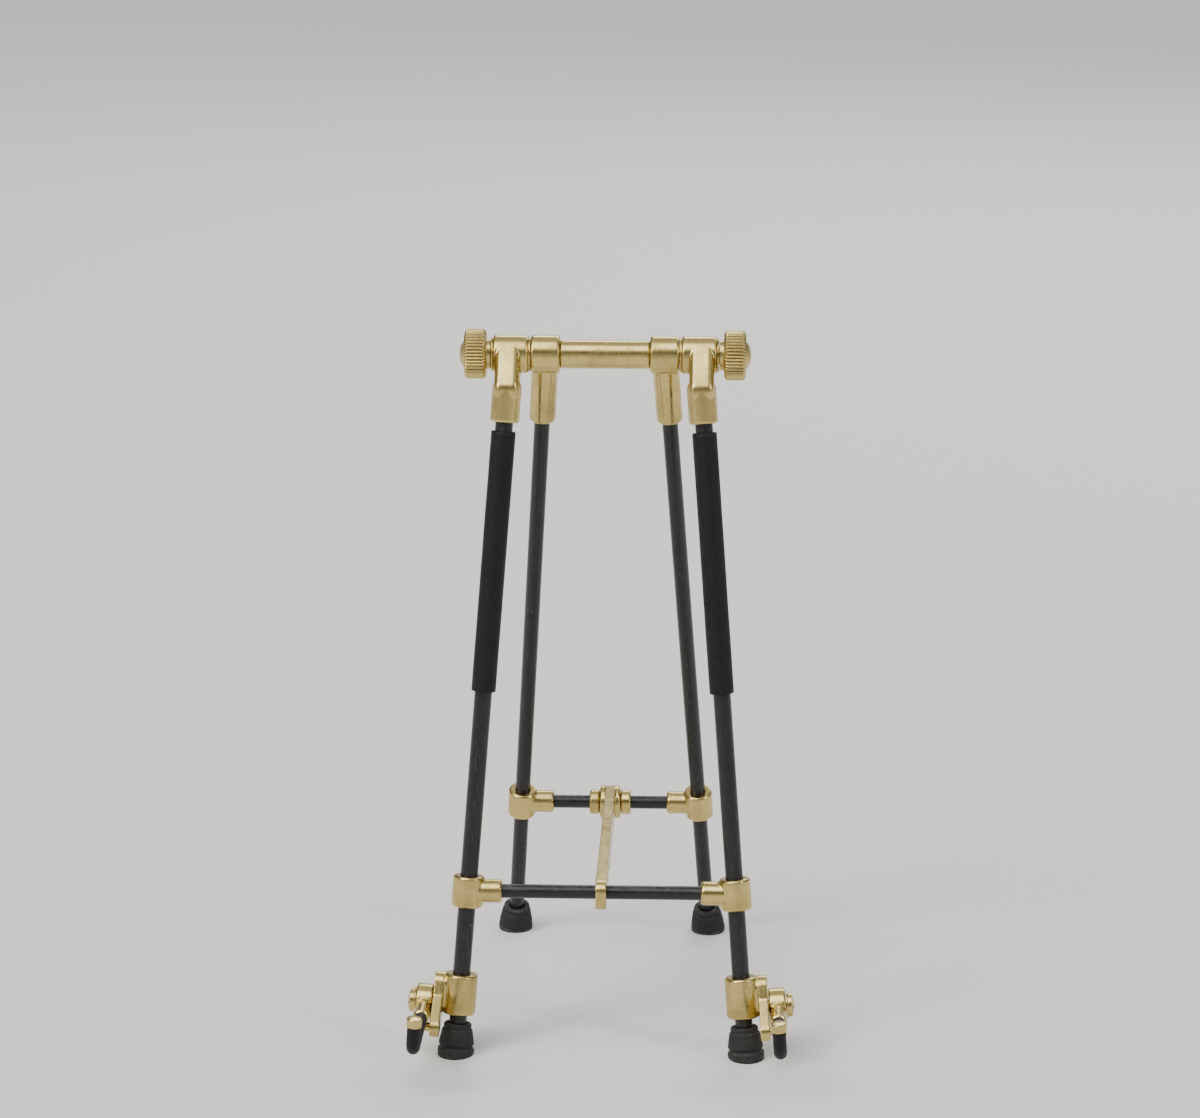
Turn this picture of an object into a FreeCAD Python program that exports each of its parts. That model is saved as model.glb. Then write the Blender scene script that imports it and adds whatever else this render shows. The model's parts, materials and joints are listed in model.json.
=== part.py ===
import FreeCAD, Part
import math
import os

# A folding plate easel, in millimetres. X is across, +Y to the rear and +Z up, and the feet stand on z = 0.
# Two splayed front legs carry folding arms with upturned prongs. A rear strut hangs from an axle across
# their heads, and a notched stay hooks over the front crossbar to hold it open. Paired pieces are built on
# the +X side and mirrored.

V = FreeCAD.Vector

# Stance
PRONG_SPACING = 80.2  # between the two caps
FRAME_LEAN = math.radians(8.5)  # the front frame leans back
LEG_SPLAY = math.radians(4.3)  # each front leg leans inwards
STRUT_ANGLE = math.radians(18.0)  # the open strut slopes back
STRUT_SPLAY = math.radians(3.7)
HINGE_RISE = 160.0  # floor to axle, measured up the front frame
HINGE_SETBACK = 6.5  # the axle lies behind the legs
BAR_RISE = 38.0  # floor to front crossbar, up the front frame

# Stock sizes, as radii
LEG_R = 2.0
STRUT_R = 1.8
BAR_R = 1.6
AXLE_R = 2.0
ARM_ROD_R = 1.1
SLEEVE_R = 1.5
RUNNING = 0.05  # radial clearance of a turning fit
GAP = 0.1  # side clearance of a turning fit
EDGE = 0.4  # the usual chamfer on a turned fitting
FINE_EDGE = 0.3
THROUGH = 40.0  # longer than any fitting, for the tools that cut one through

# Arms
ARM_HEIGHT = 11.5  # floor to the arms, high enough that the hooks clear it when the strut is folded
ARM_REACH = 30.0  # pivot to prong
ARM_BEND_R = 3.0
PRONG_RISE = 8.2  # arm centre line to the top of the cap
CAP_HEIGHT = 2.1
CAP_R = 1.75
CAP_TOP_T = 0.8  # metal over the rod's end
ARM_KNUCKLE_R = 4.0
ARM_KNUCKLE_W = 3.8
ARM_BOSS_R = ARM_KNUCKLE_W / 2
ARM_BOSS_END = 10.6  # pivot to the boss's front face
ARM_SOCKET = 5.0  # pivot to the bottom of the rod's socket
PIVOT_R = 1.5
PIVOT_START = 2.4  # leg axis to the pivot screw's inner end

# Brackets that carry the arms
COLLAR_R = 3.8
PLATE_INNER = 3.7  # leg axis to the side plate
PLATE_OUTER = 5.9
BRACKET_LOW = -2.2  # collar ends, measured from the pivot
BRACKET_HIGH = 7.2
STOP_REACH = 8.0  # pivot to stop pin, along the arm
STOP_R = 1.0
STOP_START = PLATE_INNER + 0.4  # leg axis to the stop pin's inner end
GRUB_RISE = 2.6  # pivot to the bracket's clamp screw, up the leg
ARM_OFFSET = PLATE_OUTER + GAP + ARM_KNUCKLE_W / 2

# Tees, heads and knuckles
TEE_R = 3.6
REAR_TEE_R = 3.4
TEE_HALF = 3.6
TEE_BOSS_R = 2.7
TEE_BOSS_END = 7.8
BAR_INSET = 2.7  # leg axis to the crossbar's end
HEAD_R = 3.3
HEAD_BOSS_R = 4.3
HEAD_HALF = 4.0  # half the head's width across the axle
HEAD_WEB_HALF = 2.8
HEAD_MOUTH = 15.0  # axle height down to the head's socket mouth
HEAD_NECK = 7.5  # axle height down to the socket's round top
LEG_TOP = 7.0  # axle height down to the leg's end
AXLE_END = 5.4  # outer washer to the axle's end
KNUCKLE_W = 6.6
KNUCKLE_SOCKET_R = 3.0
KNUCKLE_SOCKET_END = 17.0
STRUT_TOP = 5.5  # hinge to the strut rod's end
WASHER_T = 0.4
WASHER_R = 3.9
WASHER_EDGE = 0.1
PIVOT_WASHER_R = 3.1
SPACER_R = 3.2
GRUB_R = 1.2
GRUB_SINK = 0.3  # a set screw's end lies below its collar's surface

# Feet, sleeves and nuts
FOOT_R = 4.2
FOOT_TOP_R = 3.2
FOOT_H = 7.4
FOOT_BAND = 1.4  # height of the sole's plain band
FOOT_FLOOR = 1.8  # rubber left below the rod's end
REST_LOW = 84.0
REST_HIGH = 143.0
REST_R = 2.8
NUT_R = 5.6
NUT_W = 5.0
NUT_HUB = 1.0  # the plain hub that faces the head
KNURLS = 40
KNURL_DEPTH = 0.4

# Stay
STAY_HALF = 1.2
STAY_TOP = 4.0
STAY_BOTTOM = -2.6
STAY_NOSE = 6.0  # beyond the notch in use
STAY_EYE_R = 4.0
STAY_EYE_HALF = 2.5
NOTCHES = 3
NOTCH_PITCH = 8.0
SEAT_R = BAR_R + 0.15
STAY_COLLAR_R = 3.0
STAY_COLLAR_W = 2.4


# Directions of the right-hand side
REARWARD = V(0, math.cos(FRAME_LEAN), -math.sin(FRAME_LEAN))
LEG_UP = V(
    -math.sin(LEG_SPLAY),
    math.cos(LEG_SPLAY) * math.sin(FRAME_LEAN),
    math.cos(LEG_SPLAY) * math.cos(FRAME_LEAN),
)
OUTWARD = LEG_UP.cross(REARWARD) * -1
ARM_DIP = math.atan(math.tan(FRAME_LEAN) / math.cos(LEG_SPLAY))  # makes the arm level
ARM_FORWARD = REARWARD * -math.cos(ARM_DIP) - LEG_UP * math.sin(ARM_DIP)
PRONG_UP = LEG_UP * math.cos(ARM_DIP) - REARWARD * math.sin(ARM_DIP)
ROD_DOWN = V(
    math.sin(STRUT_SPLAY),
    math.cos(STRUT_SPLAY) * math.sin(STRUT_ANGLE),
    -math.cos(STRUT_SPLAY) * math.cos(STRUT_ANGLE),
)
ACROSS = V(1, 0, 0)
UP = V(0, 0, 1)
FRAME_UP = ACROSS.cross(REARWARD)

# Places worked out from the stance
PIVOT_RISE = ARM_HEIGHT / math.cos(FRAME_LEAN)
LEG_X = (
    PRONG_SPACING / 2
    - ARM_OFFSET * OUTWARD.x
    - ARM_REACH * ARM_FORWARD.x
    - (PRONG_RISE - CAP_HEIGHT / 2) * PRONG_UP.x
)
HINGE_Y = HINGE_RISE * math.sin(FRAME_LEAN) + HINGE_SETBACK * math.cos(FRAME_LEAN)
HINGE_Z = HINGE_RISE * math.cos(FRAME_LEAN) - HINGE_SETBACK * math.sin(FRAME_LEAN)
FRONT_EDGE = (
    PIVOT_RISE * math.sin(FRAME_LEAN)
    + OUTWARD.y * ARM_OFFSET
    + ARM_FORWARD.y * ARM_REACH
    + PRONG_UP.y * PRONG_RISE
    - CAP_R
)
REAR_EDGE = HINGE_Y + HINGE_Z * math.tan(STRUT_ANGLE) + FOOT_R / math.cos(STRUT_ANGLE)
MIDDLE_Y = (FRONT_EDGE + REAR_EDGE) / 2
STRUT_LENGTH = HINGE_Z / math.cos(STRUT_ANGLE)
BAR_DROP = (HINGE_Z - BAR_RISE * math.cos(FRAME_LEAN)) / math.cos(STRUT_ANGLE)


def front(x, rise, setback=0.0):
    """A point by its distance up the front frame and behind the legs' plane."""
    y = rise * math.sin(FRAME_LEAN) + setback * math.cos(FRAME_LEAN) - MIDDLE_Y
    z = rise * math.cos(FRAME_LEAN) - setback * math.sin(FRAME_LEAN)
    return V(x, y, z)


def on_leg(rise):
    """A point on the right leg's axis."""
    return front(LEG_X - (rise - PIVOT_RISE) * math.tan(LEG_SPLAY), rise)


HINGE = front(0, HINGE_RISE, HINGE_SETBACK)
HEAD_X = on_leg(HINGE_RISE).x
KNUCKLE_X = HEAD_X - HEAD_HALF - WASHER_T - GAP - KNUCKLE_W / 2


def on_strut(drop):
    """A point on the right strut rod's axis, by its drop from the hinge down the strut."""
    x = KNUCKLE_X + drop * math.tan(STRUT_SPLAY)
    return HINGE + V(x, drop * math.sin(STRUT_ANGLE), -drop * math.cos(STRUT_ANGLE))


ARM_PIVOT = on_leg(PIVOT_RISE) + OUTWARD * ARM_OFFSET
STAY_PIVOT = V(0, on_strut(BAR_DROP).y, on_strut(BAR_DROP).z)
FRONT_BAR = front(0, BAR_RISE)
STAY_REACH = STAY_PIVOT.y - FRONT_BAR.y


# Shape helpers
def placed(shape, origin, along, across):
    """The shape with its Z along one direction and its X towards another."""
    z = V(along).normalize()
    x = (V(across) - z * z.dot(across)).normalize()
    y = z.cross(x)
    matrix = FreeCAD.Matrix(
        x.x, y.x, z.x, origin.x, x.y, y.y, z.y, origin.y, x.z, y.z, z.z, origin.z, 0, 0, 0, 1
    )
    moved = shape.copy()
    moved.Placement = FreeCAD.Placement(matrix).multiply(shape.Placement)
    return moved


def mirrored(shape):
    return shape.mirror(V(0, 0, 0), ACROSS)


def rod(start, end, radius):
    return Part.makeCylinder(radius, (end - start).Length, start, end - start)


def x_rod(centre, x_from, x_to, radius):
    """A cylinder along X, at the centre's Y and Z."""
    return rod(V(x_from, centre.y, centre.z), V(x_to, centre.y, centre.z), radius)


def outline(steps, to_point):
    """A closed wire through the steps. A step is a point, or a pair that makes an arc by way of its first."""
    points = [to_point(*(step if not isinstance(step[0], tuple) else step[1])) for step in steps]
    edges = []
    for index, step in enumerate(steps):
        start = points[index - 1]
        if isinstance(step[0], tuple):
            edges.append(Part.Arc(start, to_point(*step[0]), points[index]).toShape())
        else:
            edges.append(Part.makeLine(start, points[index]))
    return Part.Wire(edges)


def turned(steps):
    """A solid of revolution about Z from steps of (radius, height)."""
    face = Part.Face(outline(steps, lambda r, h: V(r, 0, h)))
    return face.revolve(V(0, 0, 0), UP, 360)


def dome(radius, base, height):
    """The arc of a domed end that rises from the radius to the axis."""
    sphere = (radius**2 + height**2) / (2 * height)
    half = math.asin(radius / sphere) / 2
    middle = (sphere * math.sin(half), base + height - sphere * (1 - math.cos(half)))
    return (middle, (0, base + height))


def washer_profile(inner, outer, low, high, edge):
    """A bored disc's half section, with its outer corners cut by the edge."""
    return [
        (inner, low),
        (outer - edge, low),
        (outer, low + edge),
        (outer, high - edge),
        (outer - edge, high),
        (inner, high),
    ]


def stub(radius, end, edge=EDGE):
    """A round bar's half section from the origin, with its far corner cut by the edge."""
    return [(0, 0), (radius, 0), (radius, end - edge), (radius - edge, end), (0, end)]


def link(y1, z1, r1, y2, z2, r2, x_from, x_to):
    """A flat link with two round ends, lying across X."""
    turn = math.atan2(z2 - z1, y2 - y1)
    side = math.acos((r1 - r2) / math.hypot(y2 - y1, z2 - z1))

    def rim(y, z, radius, angle):
        return (y + radius * math.cos(angle), z + radius * math.sin(angle))

    steps = [
        rim(y2, z2, r2, turn - side),
        (rim(y2, z2, r2, turn), rim(y2, z2, r2, turn + side)),
        rim(y1, z1, r1, turn + side),
        (rim(y1, z1, r1, turn + math.pi), rim(y1, z1, r1, turn - side)),
    ]
    face = Part.Face(outline(steps, lambda y, z: V(x_from, y, z)))
    return face.extrude(V(x_to - x_from, 0, 0))


def softened(plate, radius):
    """A plate that lies across X, with the outlines of both its flat faces rounded."""
    sides = (plate.BoundBox.XMin, plate.BoundBox.XMax)
    outlines = [e for e in plate.Edges if any(all(abs(v.X - x) < RUNNING for v in e.Vertexes) for x in sides)]
    return plate.makeFillet(radius, outlines)


def grub_hole(radius):
    """A threaded hole through a collar's rear wall, on local +Y."""
    return Part.makeCylinder(GRUB_R, 2 * radius, V(0, 0, 0), V(0, 1, 0))


def grub_screw(inner, outer):
    """A socket set screw in a collar's rear wall, on local +Y."""
    screw = Part.makeCylinder(GRUB_R, outer - inner - GRUB_SINK, V(0, inner, 0), V(0, 1, 0))
    key_r = 0.7
    key_floor = outer - 1.1
    corners = [k * math.pi / 3 for k in range(7)]
    hexagon = Part.makePolygon([V(key_r * math.cos(a), key_floor, key_r * math.sin(a)) for a in corners])
    return screw.cut(Part.Face(hexagon).extrude(V(0, THROUGH, 0)))


def in_foot(floor_point, rod_up):
    """Where a rod ends inside its foot."""
    return floor_point + rod_up * (FOOT_FLOOR / rod_up.z)


# Front frame
def leg():
    return rod(in_foot(on_leg(0), LEG_UP), on_leg(HINGE_RISE - LEG_TOP), LEG_R)


def bracket():
    """Clamps to the leg. Its side plate carries the arm's pivot and the stop pin."""
    collar = turned(washer_profile(LEG_R, COLLAR_R, BRACKET_LOW, BRACKET_HIGH, EDGE))
    stop_y, stop_z = stop_place()
    pivot_rim = 4.3
    stop_rim = 2.2
    top_rise = 4.4
    top_rim = 2.8
    web_rim = 2.6
    web_low = BRACKET_LOW + web_rim + EDGE
    web = link(0, web_low, web_rim, 0, top_rise, web_rim, PIVOT_START, PLATE_INNER + EDGE)
    lower = link(0, 0, pivot_rim, stop_y, stop_z, stop_rim, PLATE_INNER, PLATE_OUTER)
    upper = link(0, 0, pivot_rim, 0, top_rise, top_rim, PLATE_INNER, PLATE_OUTER)
    body = collar.fuse([web, lower, upper])
    holes = [
        Part.makeCylinder(LEG_R, 2 * THROUGH, V(0, 0, -THROUGH)),
        Part.makeCylinder(PIVOT_R, THROUGH, V(PIVOT_START, 0, 0), ACROSS),
        Part.makeCylinder(STOP_R, THROUGH, V(STOP_START, stop_y, stop_z), ACROSS),
        grub_hole(COLLAR_R).translated(V(0, 0, GRUB_RISE)),
    ]
    return on_pivot(body.cut(holes).removeSplitter())


def stop_place():
    """The stop pin's place beside the leg, just under the level arm's boss."""
    below = ARM_BOSS_R + STOP_R + RUNNING
    y = -STOP_REACH * math.cos(ARM_DIP) + below * math.sin(ARM_DIP)
    z = -STOP_REACH * math.sin(ARM_DIP) - below * math.cos(ARM_DIP)
    return y, z


def on_pivot(shape):
    """Moves a shape from the leg's own axes at pivot height into place."""
    return placed(shape, on_leg(PIVOT_RISE), LEG_UP, OUTWARD)


def stop_pin():
    y, z = stop_place()
    pin = turned(stub(STOP_R, PLATE_OUTER + ARM_KNUCKLE_W - STOP_START, FINE_EDGE))
    return on_pivot(placed(pin, V(STOP_START, y, z), ACROSS, UP))


def pivot_screw():
    """A slotted shoulder screw that the arm turns on."""
    seat = PLATE_OUTER + GAP + ARM_KNUCKLE_W + GAP + WASHER_T
    head_r = 2.7
    rim = seat + 0.9
    rise = 0.6
    screw = turned(
        [
            (0, PIVOT_START),
            (PIVOT_R, PIVOT_START),
            (PIVOT_R, seat),
            (head_r, seat),
            (head_r, rim),
            dome(head_r, rim, rise),
        ]
    )
    slot_w = 0.7
    slot_floor = rim + rise - 0.75
    slot = Part.makeBox(slot_w, 2 * THROUGH, THROUGH, V(-slot_w / 2, -THROUGH, slot_floor))
    return on_pivot(placed(screw.cut(slot), V(0, 0, 0), ACROSS, UP))


def pivot_washer():
    start = PLATE_OUTER + 2 * GAP + ARM_KNUCKLE_W
    ring = turned(washer_profile(PIVOT_R, PIVOT_WASHER_R, start, start + WASHER_T, WASHER_EDGE))
    return on_pivot(placed(ring, V(0, 0, 0), ACROSS, UP))


def tee(centre, rod_up, rod_r, outer_r):
    """Clamps to a leg or strut rod, and holds the end of a crossbar on its inner side."""
    body = placed(turned(washer_profile(0, outer_r, -TEE_HALF, TEE_HALF, EDGE)), centre, rod_up, ACROSS)
    boss = turned(stub(TEE_BOSS_R, TEE_BOSS_END))
    body = body.fuse(placed(boss, centre, ACROSS * -1, UP))
    bore = rod(centre - rod_up * THROUGH, centre + rod_up * THROUGH, rod_r)
    bar_hole = x_rod(centre, centre.x - THROUGH, centre.x - BAR_INSET, BAR_R)
    hole = placed(grub_hole(outer_r), centre, rod_up, ACROSS)
    return body.cut([bore, bar_hole, hole]).removeSplitter()


def crossbar(centre):
    return x_rod(centre, BAR_INSET - centre.x, centre.x - BAR_INSET, BAR_R)


def head():
    """Caps the leg, and holds the axle behind it."""
    socket = turned(
        [
            (0, -HEAD_MOUTH),
            (HEAD_R - EDGE, -HEAD_MOUTH),
            (HEAD_R, EDGE - HEAD_MOUTH),
            (HEAD_R, -HEAD_NECK),
            dome(HEAD_R, -HEAD_NECK, HEAD_R),
        ]
    )
    socket = placed(socket, on_leg(HINGE_RISE), LEG_UP, ACROSS)
    neck = on_leg(HINGE_RISE) - LEG_UP * HEAD_NECK
    web = link(0, -HEAD_NECK, HEAD_R, HINGE_SETBACK, 0, HEAD_BOSS_R, -HEAD_WEB_HALF, HEAD_WEB_HALF)
    web = placed(softened(web, HEAD_WEB_HALF / 2), front(neck.x, HINGE_RISE), FRAME_UP, ACROSS)
    boss = turned(washer_profile(0, HEAD_BOSS_R, -HEAD_HALF, HEAD_HALF, EDGE))
    boss = placed(boss, HINGE + V(HEAD_X, 0, 0), ACROSS, UP)
    bores = [
        rod(on_leg(HINGE_RISE - THROUGH), on_leg(HINGE_RISE - LEG_TOP), LEG_R),
        x_rod(HINGE, HEAD_X - THROUGH, HEAD_X + THROUGH, AXLE_R),
    ]
    return socket.fuse([web, boss]).cut(bores).removeSplitter()


def axle():
    end = HEAD_X + HEAD_HALF + WASHER_T + AXLE_END
    return placed(turned(washer_profile(0, AXLE_R, -end, end, FINE_EDGE)), HINGE, ACROSS, UP)


def axle_washer(x_from):
    ring = turned(washer_profile(AXLE_R, WASHER_R, x_from, x_from + WASHER_T, WASHER_EDGE))
    return placed(ring, HINGE, ACROSS, UP)


def axle_washers():
    outside = axle_washer(HEAD_X + HEAD_HALF)
    inside = axle_washer(HEAD_X - HEAD_HALF - WASHER_T)
    return [outside, inside, mirrored(outside), mirrored(inside)]


def thumb_nut():
    """A blind knurled nut on the axle's end."""
    middle = NUT_HUB + NUT_W / 2
    top = NUT_HUB + NUT_W
    angles = [k * math.pi / KNURLS for k in range(2 * KNURLS + 1)]
    radii = [NUT_R, NUT_R - KNURL_DEPTH]
    rim = [V(radii[k % 2] * math.cos(a), radii[k % 2] * math.sin(a), NUT_HUB) for k, a in enumerate(angles)]
    grip = Part.Face(Part.makePolygon(rim)).extrude(V(0, 0, NUT_W))
    blank = turned(washer_profile(0, NUT_R, NUT_HUB, top, 1.5 * KNURL_DEPTH))
    hub_r = 3.4
    hub = Part.makeCylinder(hub_r, middle)
    button_r = 3.2
    button_rise = 1.2
    button = turned([(0, middle), (button_r, middle), (button_r, top), dome(button_r, top, button_rise)])
    body = grip.common(blank).fuse([hub, button])
    bore = Part.makeCylinder(AXLE_R + RUNNING, AXLE_END + 2 * GAP)
    start = HEAD_X + HEAD_HALF + WASHER_T + GAP
    return placed(body.cut(bore).removeSplitter(), HINGE + V(start, 0, 0), ACROSS, UP)


def rest_sleeve():
    """Soft tube on the leg, where the object's back leans."""
    length = (on_leg(REST_HIGH) - on_leg(REST_LOW)).Length
    tube = turned(washer_profile(LEG_R, REST_R, 0, length, 0.15))
    return placed(tube, on_leg(REST_LOW), LEG_UP, OUTWARD)


def foot(floor_point, rod_up, rod_r):
    """A push-on rubber foot, moulded in line with its rod and flat on the floor."""
    groove_r = FOOT_R - 0.35
    groove_top = FOOT_BAND + 0.9
    skirt_r = FOOT_R - 0.1
    body = turned(
        [
            (0, -FOOT_R),
            (FOOT_R, -FOOT_R),
            (FOOT_R, FOOT_BAND),
            (groove_r, FOOT_BAND + EDGE),
            (groove_r, groove_top),
            (skirt_r, groove_top + EDGE),
            (FOOT_TOP_R, FOOT_H - EDGE),
            (FOOT_TOP_R - EDGE, FOOT_H),
            (0, FOOT_H),
        ]
    )
    body = placed(body, floor_point, rod_up, ACROSS)
    corner = V(floor_point.x - THROUGH / 2, floor_point.y - THROUGH / 2, -THROUGH)
    under_floor = Part.makeBox(THROUGH, THROUGH, THROUGH, corner)
    bore = rod(in_foot(floor_point, rod_up), floor_point + rod_up * THROUGH, rod_r)
    return body.cut([under_floor, bore])


def front_foot():
    return foot(on_leg(0), LEG_UP, LEG_R)


# Arms
def on_arm(shape):
    """Moves a shape from the arm's own axes into place: X forward, Z up, at the pivot."""
    return placed(shape, ARM_PIVOT, PRONG_UP, ARM_FORWARD)


def arm_knuckle():
    """The eye that turns on the pivot screw, with a boss for the arm's rod."""
    half = ARM_KNUCKLE_W / 2
    eye = placed(turned(washer_profile(0, ARM_KNUCKLE_R, -half, half, FINE_EDGE)), V(0, 0, 0), V(0, 1, 0), UP)
    boss = placed(turned(stub(ARM_BOSS_R, ARM_BOSS_END)), V(0, 0, 0), ACROSS, UP)
    holes = [
        Part.makeCylinder(PIVOT_R + RUNNING, 2 * THROUGH, V(0, -THROUGH, 0), V(0, 1, 0)),
        Part.makeCylinder(ARM_ROD_R, THROUGH, V(ARM_SOCKET, 0, 0), ACROSS),
    ]
    return on_arm(eye.fuse(boss).cut(holes).removeSplitter())


def arm_sweep(radius, start, top):
    """A round bar along the arm's path: forward, round the bend, and up the prong."""
    corner = ARM_REACH - ARM_BEND_R
    half_turn = math.pi / 4
    middle = V(corner + ARM_BEND_R * math.sin(half_turn), 0, ARM_BEND_R * (1 - math.cos(half_turn)))
    bend_end = V(ARM_REACH, 0, ARM_BEND_R)
    path = Part.Wire(
        [
            Part.makeLine(V(start, 0, 0), V(corner, 0, 0)),
            Part.Arc(V(corner, 0, 0), middle, bend_end).toShape(),
            Part.makeLine(bend_end, V(ARM_REACH, 0, top)),
        ]
    )
    section = Part.Wire(Part.makeCircle(radius, V(start, 0, 0), ACROSS))
    return path.makePipeShell([section], True, True)


def arm_rod():
    return on_arm(arm_sweep(ARM_ROD_R, ARM_SOCKET, PRONG_RISE - CAP_TOP_T))


def arm_sleeve():
    """Soft tube over the arm's rod, from the boss to the cap."""
    top = PRONG_RISE - CAP_HEIGHT
    outside = arm_sweep(SLEEVE_R, ARM_BOSS_END, top)
    inside = arm_sweep(ARM_ROD_R, ARM_BOSS_END, top)
    return on_arm(outside.cut(inside))


def tip_cap():
    """A small brass ferrule that closes the prong's end."""
    low = PRONG_RISE - CAP_HEIGHT
    crown = 0.1
    rim_r = 0.4
    shoulder = PRONG_RISE - crown - rim_r
    bow = rim_r * math.sin(math.pi / 4)
    cap = turned(
        [
            (0, low),
            (CAP_R - crown, low),
            (CAP_R, low + crown),
            (CAP_R, shoulder),
            ((CAP_R - rim_r + bow, shoulder + bow), (CAP_R - rim_r, PRONG_RISE - crown)),
            dome(CAP_R - rim_r, PRONG_RISE - crown, crown),
        ]
    )
    bore = Part.makeCylinder(ARM_ROD_R, CAP_HEIGHT - CAP_TOP_T, V(0, 0, low))
    return on_arm(cap.cut(bore).translated(V(ARM_REACH, 0, 0)))


# Rear strut
def strut_knuckle():
    """Turns on the axle, and holds the top of a strut rod."""
    half = KNUCKLE_W / 2
    boss = turned(washer_profile(0, HEAD_BOSS_R, -half, half, EDGE))
    boss = placed(boss, HINGE + V(KNUCKLE_X, 0, 0), ACROSS, UP)
    socket = placed(turned(stub(KNUCKLE_SOCKET_R, KNUCKLE_SOCKET_END)), on_strut(0), ROD_DOWN, ACROSS)
    bores = [
        x_rod(HINGE, KNUCKLE_X - THROUGH, KNUCKLE_X + THROUGH, AXLE_R + RUNNING),
        rod(on_strut(0) + ROD_DOWN * STRUT_TOP, on_strut(0) + ROD_DOWN * THROUGH, STRUT_R),
    ]
    return boss.fuse(socket).cut(bores).removeSplitter()


def strut_rod():
    top = on_strut(0) + ROD_DOWN * STRUT_TOP
    return rod(top, in_foot(on_strut(STRUT_LENGTH), ROD_DOWN * -1), STRUT_R)


def spacer_tube():
    end = KNUCKLE_X - KNUCKLE_W / 2
    tube = turned(washer_profile(AXLE_R + RUNNING, SPACER_R, -end, end, FINE_EDGE))
    return placed(tube, HINGE, ACROSS, UP)


def rear_foot():
    return foot(on_strut(STRUT_LENGTH), ROD_DOWN * -1, STRUT_R)


def stay_collar():
    """Keeps the stay at the middle of the rear crossbar."""
    start = STAY_EYE_HALF + GAP
    ring = turned(washer_profile(BAR_R, STAY_COLLAR_R, start, start + STAY_COLLAR_W, FINE_EDGE))
    return placed(ring, STAY_PIVOT, ACROSS, UP)


# Stay
def stay_notch(reach):
    """The space of one notch: a round seat, a steep front wall and a ramp to the rear."""
    over = 1.0  # beyond the bar's faces
    low = STAY_BOTTOM - over
    slope = SEAT_R * math.sin(math.pi / 4)
    ramp_foot = reach - slope - (slope - low)
    steps = [
        (reach + SEAT_R, low),
        (reach + SEAT_R, 0),
        ((reach, SEAT_R), (reach - slope, slope)),
        (ramp_foot, low),
    ]
    face = Part.Face(outline(steps, lambda x, z: V(x, -STAY_HALF - over, z)))
    return face.extrude(V(0, 2 * (STAY_HALF + over), 0))


def notched_stay():
    """A flat bar that turns on the rear crossbar and hooks over the front one."""
    nose = STAY_REACH + STAY_NOSE
    low_r = 2.0
    high_r = 2.5
    bow = 1 - math.sin(math.pi / 4)
    steps = [
        (0, STAY_BOTTOM),
        (nose - low_r, STAY_BOTTOM),
        ((nose - low_r * bow, STAY_BOTTOM + low_r * bow), (nose, STAY_BOTTOM + low_r)),
        (nose, STAY_TOP - high_r),
        ((nose - high_r * bow, STAY_TOP - high_r * bow), (nose - high_r, STAY_TOP)),
        (0, STAY_TOP),
    ]
    face = Part.Face(outline(steps, lambda x, z: V(x, -STAY_HALF, z)))
    bar = face.extrude(V(0, 2 * STAY_HALF, 0))
    eye = turned(washer_profile(0, STAY_EYE_R, -STAY_EYE_HALF, STAY_EYE_HALF, EDGE))
    eye = placed(eye, V(0, 0, 0), V(0, 1, 0), UP)
    cuts = [stay_notch(STAY_REACH - k * NOTCH_PITCH) for k in range(NOTCHES)]
    cuts.append(Part.makeCylinder(BAR_R + RUNNING, 2 * THROUGH, V(0, -THROUGH, 0), V(0, 1, 0)))
    body = bar.fuse(eye).cut(cuts).removeSplitter()
    return placed(body, STAY_PIVOT, UP, V(0, -1, 0))


# Fasteners that hold the collars
def frame_grub_screws():
    at_bracket = on_pivot(grub_screw(LEG_R, COLLAR_R).translated(V(0, 0, GRUB_RISE)))
    at_tee = placed(grub_screw(LEG_R, TEE_R), on_leg(BAR_RISE), LEG_UP, ACROSS)
    screws = [at_bracket, at_tee]
    return screws + [mirrored(screw) for screw in screws]


def strut_grub_screws():
    screw = placed(grub_screw(STRUT_R, REAR_TEE_R), on_strut(BAR_DROP), ROD_DOWN * -1, ACROSS)
    return [screw, mirrored(screw)]


def rear_tee():
    return tee(on_strut(BAR_DROP), ROD_DOWN * -1, STRUT_R, REAR_TEE_R)


def front_tee():
    return tee(on_leg(BAR_RISE), LEG_UP, LEG_R, TEE_R)


PAIRED = {
    "leg": leg,
    "bracket": bracket,
    "stop_pin": stop_pin,
    "pivot_screw": pivot_screw,
    "front_tee": front_tee,
    "head": head,
    "thumb_nut": thumb_nut,
    "rest_sleeve": rest_sleeve,
    "front_foot": front_foot,
    "arm_knuckle": arm_knuckle,
    "arm_rod": arm_rod,
    "arm_sleeve": arm_sleeve,
    "tip_cap": tip_cap,
    "strut_knuckle": strut_knuckle,
    "strut_rod": strut_rod,
    "rear_tee": rear_tee,
    "rear_foot": rear_foot,
}


def all_nodes():
    """Every node's shape by name."""
    nodes = {}
    for name, build in PAIRED.items():
        shape = build()
        nodes["right_" + name] = shape
        nodes["left_" + name] = mirrored(shape)
    nodes["front_crossbar"] = crossbar(on_leg(BAR_RISE))
    nodes["rear_crossbar"] = crossbar(on_strut(BAR_DROP))
    nodes["hinge_axle"] = axle()
    nodes["spacer_tube"] = spacer_tube()
    nodes["notched_stay"] = notched_stay()
    nodes["axle_washers"] = Part.makeCompound(axle_washers())
    nodes["pivot_washers"] = Part.makeCompound([pivot_washer(), mirrored(pivot_washer())])
    nodes["stay_collars"] = Part.makeCompound([stay_collar(), mirrored(stay_collar())])
    nodes["frame_grub_screws"] = Part.makeCompound(frame_grub_screws())
    nodes["strut_grub_screws"] = Part.makeCompound(strut_grub_screws())
    return nodes


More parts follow.
